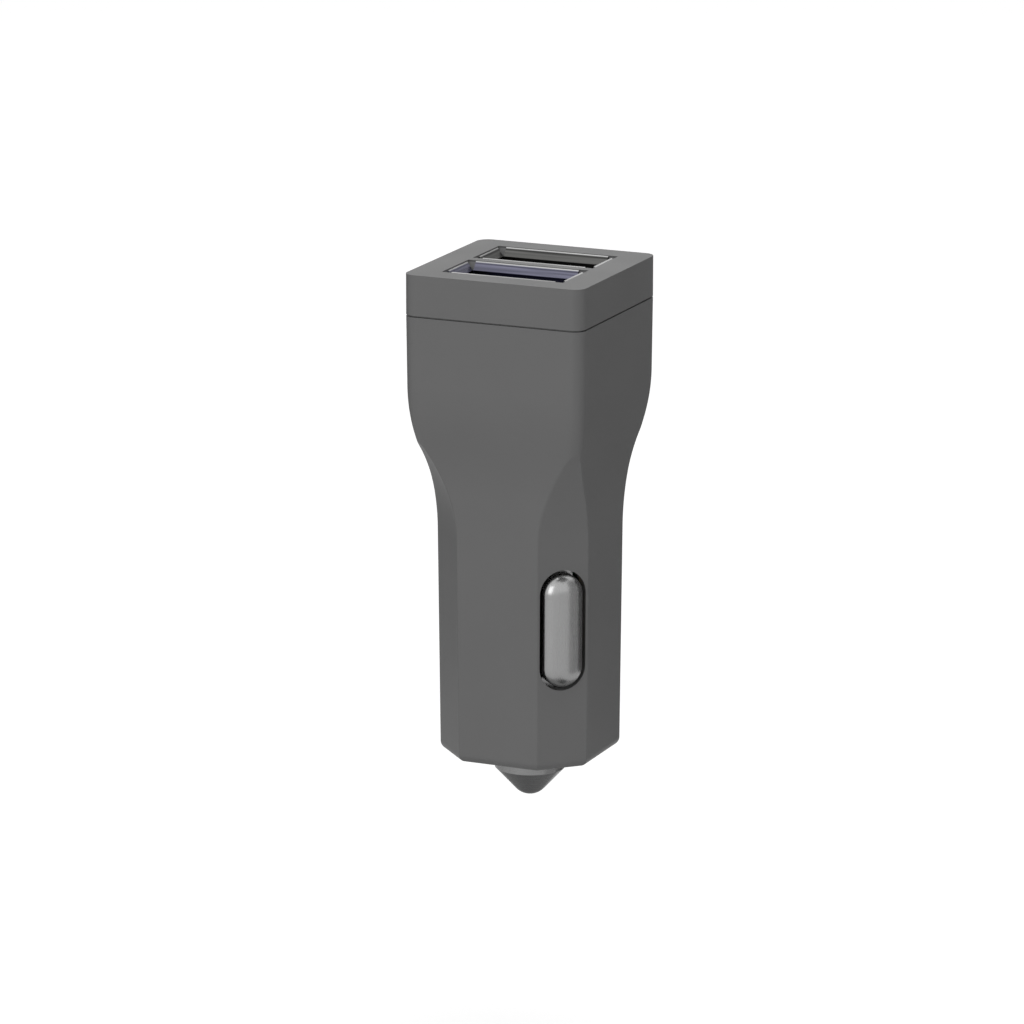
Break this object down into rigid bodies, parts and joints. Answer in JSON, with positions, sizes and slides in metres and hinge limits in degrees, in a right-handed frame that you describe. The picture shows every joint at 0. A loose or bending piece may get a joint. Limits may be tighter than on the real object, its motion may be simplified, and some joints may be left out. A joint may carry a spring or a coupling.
{
  "type": "car usb charger plug",
  "caption": "Car socket plug with a square head that blends into an eight-sided barrel, back-to-back charging ports, a sprung tip and sprung side contacts.",
  "frame": {"origin": "on the plug's axis, in the end face of the barrel beside the tip", "axes": "+Z from the sprung tip to the charging face, +X along the ports' long side, +Y to the rear port"},
  "size_m": [0.0214, 0.0214, 0.0612],
  "materials": {
    "housing_plastic": "fine satin moulded plastic, dark grey",
    "face_cap_plastic": "fine satin moulded plastic, dark grey",
    "contact_nickel": "nickel plated, satin",
    "spring_steel": "bright spring steel",
    "bracket_brass": "plain brass",
    "shell_steel": "bright tin-plated sheet steel",
    "tongue_blue": "violet-blue moulded insulator",
    "tongue_black": "black moulded insulator",
    "pin_gold": "gold-flashed contact strip",
    "board_green": "glass-fibre board with green solder mask",
    "ferrite": "dark grey ferrite",
    "winding_copper": "lacquered copper wire",
    "can_aluminium": "aluminium can",
    "chip_black": "black moulding compound",
    "fuse_ceramic": "white ceramic with tinned ends",
    "resistor_black": "black glazed ceramic with tinned ends",
    "capacitor_tan": "tan ceramic with tinned ends"
  },
  "bodies": {
    "plug_body": {"chip_capacitor_1": "capacitor_tan", "chip_capacitor_2": "capacitor_tan", "chip_capacitor_3": "capacitor_tan", "chip_resistor_1": "resistor_black", "chip_resistor_2": "resistor_black", "chip_resistor_3": "resistor_black", "chip_resistor_4": "resistor_black", "circuit_board": "board_green", "converter_chip": "chip_black", "diode": "chip_black", "face_cap": "face_cap_plastic", "fuse": "fuse_ceramic", "ground_bracket_front": "bracket_brass", "ground_bracket_rear": "bracket_brass", "ground_spring_front": "spring_steel", "ground_spring_rear": "spring_steel", "housing": "housing_plastic", "inductor_core": "ferrite", "inductor_winding": "winding_copper", "input_capacitor": "can_aluminium", "output_capacitor": "can_aluminium", "port_chip": "chip_black", "spring_seat": "bracket_brass", "tip_spring": "spring_steel", "usb_pin_front_1": "pin_gold", "usb_pin_front_2": "pin_gold", "usb_pin_front_3": "pin_gold", "usb_pin_front_4": "pin_gold", "usb_pin_rear_1": "pin_gold", "usb_pin_rear_2": "pin_gold", "usb_pin_rear_3": "pin_gold", "usb_pin_rear_4": "pin_gold", "usb_shell_front": "shell_steel", "usb_shell_rear": "shell_steel", "usb_tongue_front": "tongue_blue", "usb_tongue_rear": "tongue_black"},
    "tip": {"tip_contact": "contact_nickel"},
    "side_contact_front": {"ground_contact_front": "contact_nickel"},
    "side_contact_rear": {"ground_contact_rear": "contact_nickel"}
  },
  "joints": [
    {"name": "tip_slide", "type": "slide", "parent": "plug_body", "child": "tip", "axis": [0, 0, 1], "range_m": [0, 0.003], "stiffness_N_per_m": 1500, "springref_m": -0.002, "deforming": ["tip_spring"]},
    {"name": "front_contact_slide", "type": "slide", "parent": "plug_body", "child": "side_contact_front", "axis": [-0.7071, 0.7071, 0.0096], "range_m": [0, 0.0012], "stiffness_N_per_m": 800, "springref_m": -0.001, "deforming": ["ground_spring_front"]},
    {"name": "rear_contact_slide", "type": "slide", "parent": "plug_body", "child": "side_contact_rear", "axis": [0.7071, -0.7071, 0.0096], "range_m": [0, 0.0012], "stiffness_N_per_m": 800, "springref_m": -0.001, "deforming": ["ground_spring_rear"]}
  ]
}
